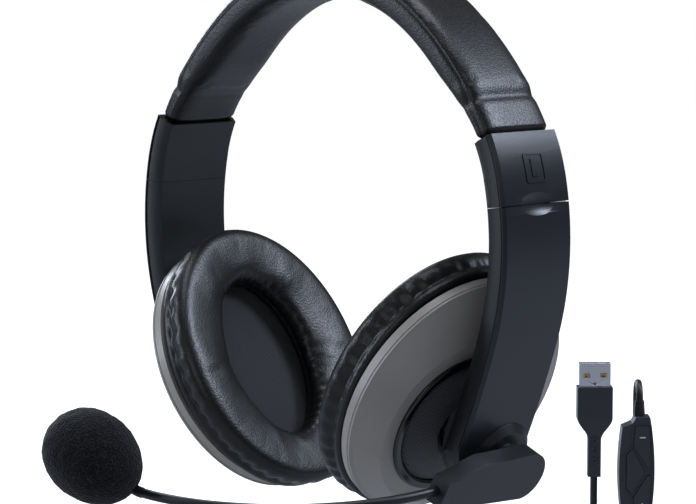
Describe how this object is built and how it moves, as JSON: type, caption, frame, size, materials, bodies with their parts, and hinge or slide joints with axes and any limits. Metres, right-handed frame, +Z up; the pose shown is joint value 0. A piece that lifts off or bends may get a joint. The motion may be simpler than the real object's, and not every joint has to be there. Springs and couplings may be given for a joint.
{
  "type": "office headset",
  "caption": "Padded over-head headset with size sliders, gimballed ear cups, a microphone boom and a USB cable with an in-line remote.",
  "frame": {"origin": "on the centre plane of the headband, level with the widest point of the arms", "axes": "+Z up, +X towards the wearer's left ear and the boom, -Y the way the wearer faces"},
  "size_m": [0.1732, 0.2855, 0.2416],
  "materials": {
    "charcoal": "matt charcoal plastic with a faint blue tone",
    "cover": "satin blue-grey plastic with bright chamfers",
    "graphite": "fine satin graphite plastic",
    "warm_grey": "satin warm grey plastic",
    "gloss_black": "gloss black plastic",
    "leather": "soft black leatherette with fine grain",
    "mesh_cloth": "woven black mesh",
    "ear_cloth": "thin dark grey cloth",
    "foam": "open-cell black foam",
    "cable": "soft black cable jacket",
    "tube": "soft black gooseneck sleeve",
    "speaker": "moulded speaker frame",
    "steel": "bright spring steel",
    "plug_steel": "bright plated steel",
    "board": "green circuit board",
    "tongue": "white moulded plastic",
    "gold": "gold-plated contact"
  },
  "bodies": {
    "headband": {"headband_spring": "steel", "headband_cover": "leather", "headband_foam": "leather", "slider_screws": "steel", "detent_springs": "steel", "left_slider": "charcoal", "right_slider": "charcoal", "left_slider_cover": "cover", "right_slider_cover": "cover"},
    "left_arm": {"left_arm": "charcoal", "left_arm_cover": "cover", "left_rail": "steel", "left_arm_screws": "steel", "left_yoke": "charcoal", "boom_boss": "charcoal", "boom_screw": "steel", "cable_relief": "cable", "main_cable": "cable", "remote_front": "graphite", "remote_back": "graphite", "remote_board": "board", "remote_reliefs": "cable", "remote_screws": "steel", "plug_cable": "cable", "plug_body": "graphite", "plug_shell": "plug_steel", "plug_tongue": "tongue", "plug_contacts": "gold"},
    "right_arm": {"right_arm": "charcoal", "right_arm_cover": "cover", "right_rail": "steel", "right_arm_screws": "steel", "right_yoke": "charcoal"},
    "left_spider": {"left_spider": "graphite"},
    "right_spider": {"right_spider": "graphite"},
    "left_cup": {"left_cup": "warm_grey", "left_bezel": "gloss_black", "left_grille": "mesh_cloth", "left_hub": "charcoal", "left_baffle": "charcoal", "left_driver": "speaker", "left_ear_cloth": "ear_cloth", "left_cushion": "leather"},
    "right_cup": {"right_cup": "warm_grey", "right_bezel": "gloss_black", "right_grille": "mesh_cloth", "right_hub": "charcoal", "right_baffle": "charcoal", "right_driver": "speaker", "right_ear_cloth": "ear_cloth", "right_cushion": "leather"},
    "boom": {"boom_housing": "charcoal", "boom_lid": "cover", "boom_tube": "tube", "mic_collar": "charcoal", "mic_capsule": "graphite", "mic_foam": "foam"},
    "volume_down": {"volume_down_button": "graphite"},
    "volume_up": {"volume_up_button": "graphite"},
    "mute": {"mute_button": "graphite"}
  },
  "joints": [
    {"name": "left_size", "type": "hinge", "parent": "headband", "child": "left_arm", "pos_m": [-0.0254, 0, 0], "axis": [0, 1, 0], "range_deg": [0, 7]},
    {"name": "right_size", "type": "hinge", "parent": "headband", "child": "right_arm", "pos_m": [0.0254, 0, 0], "axis": [0, -1, 0], "range_deg": [0, 7]},
    {"name": "left_swivel", "type": "hinge", "parent": "left_arm", "child": "left_spider", "pos_m": [0.05312, -0.001, -0.06424], "axis": [0.3987, 0, 0.9171], "range_deg": [0, 10]},
    {"name": "left_tilt", "type": "hinge", "parent": "left_spider", "child": "left_cup", "pos_m": [0.05312, -0.001, -0.06424], "axis": [-0.0799, -0.9962, 0.0348], "range_deg": [0, 8]},
    {"name": "right_swivel", "type": "hinge", "parent": "right_arm", "child": "right_spider", "pos_m": [-0.05312, -0.001, -0.06424], "axis": [0.3987, 0, -0.9171], "range_deg": [0, 10]},
    {"name": "right_tilt", "type": "hinge", "parent": "right_spider", "child": "right_cup", "pos_m": [-0.05312, -0.001, -0.06424], "axis": [-0.0799, 0.9962, -0.0348], "range_deg": [0, 8]},
    {"name": "boom_turn", "type": "hinge", "parent": "left_arm", "child": "boom", "pos_m": [0.0654, 0.004, -0.07529], "axis": [0.9118, 0, -0.4107], "range_deg": [-60, 30]},
    {"name": "volume_down_press", "type": "slide", "parent": "left_arm", "child": "volume_down", "axis": [-0.682, 0.7314, 0], "range_m": [0, 0.0005]},
    {"name": "volume_up_press", "type": "slide", "parent": "left_arm", "child": "volume_up", "axis": [-0.682, 0.7314, 0], "range_m": [0, 0.0005]},
    {"name": "mute_press", "type": "slide", "parent": "left_arm", "child": "mute", "axis": [-0.682, 0.7314, 0], "range_m": [0, 0.0005]}
  ]
}
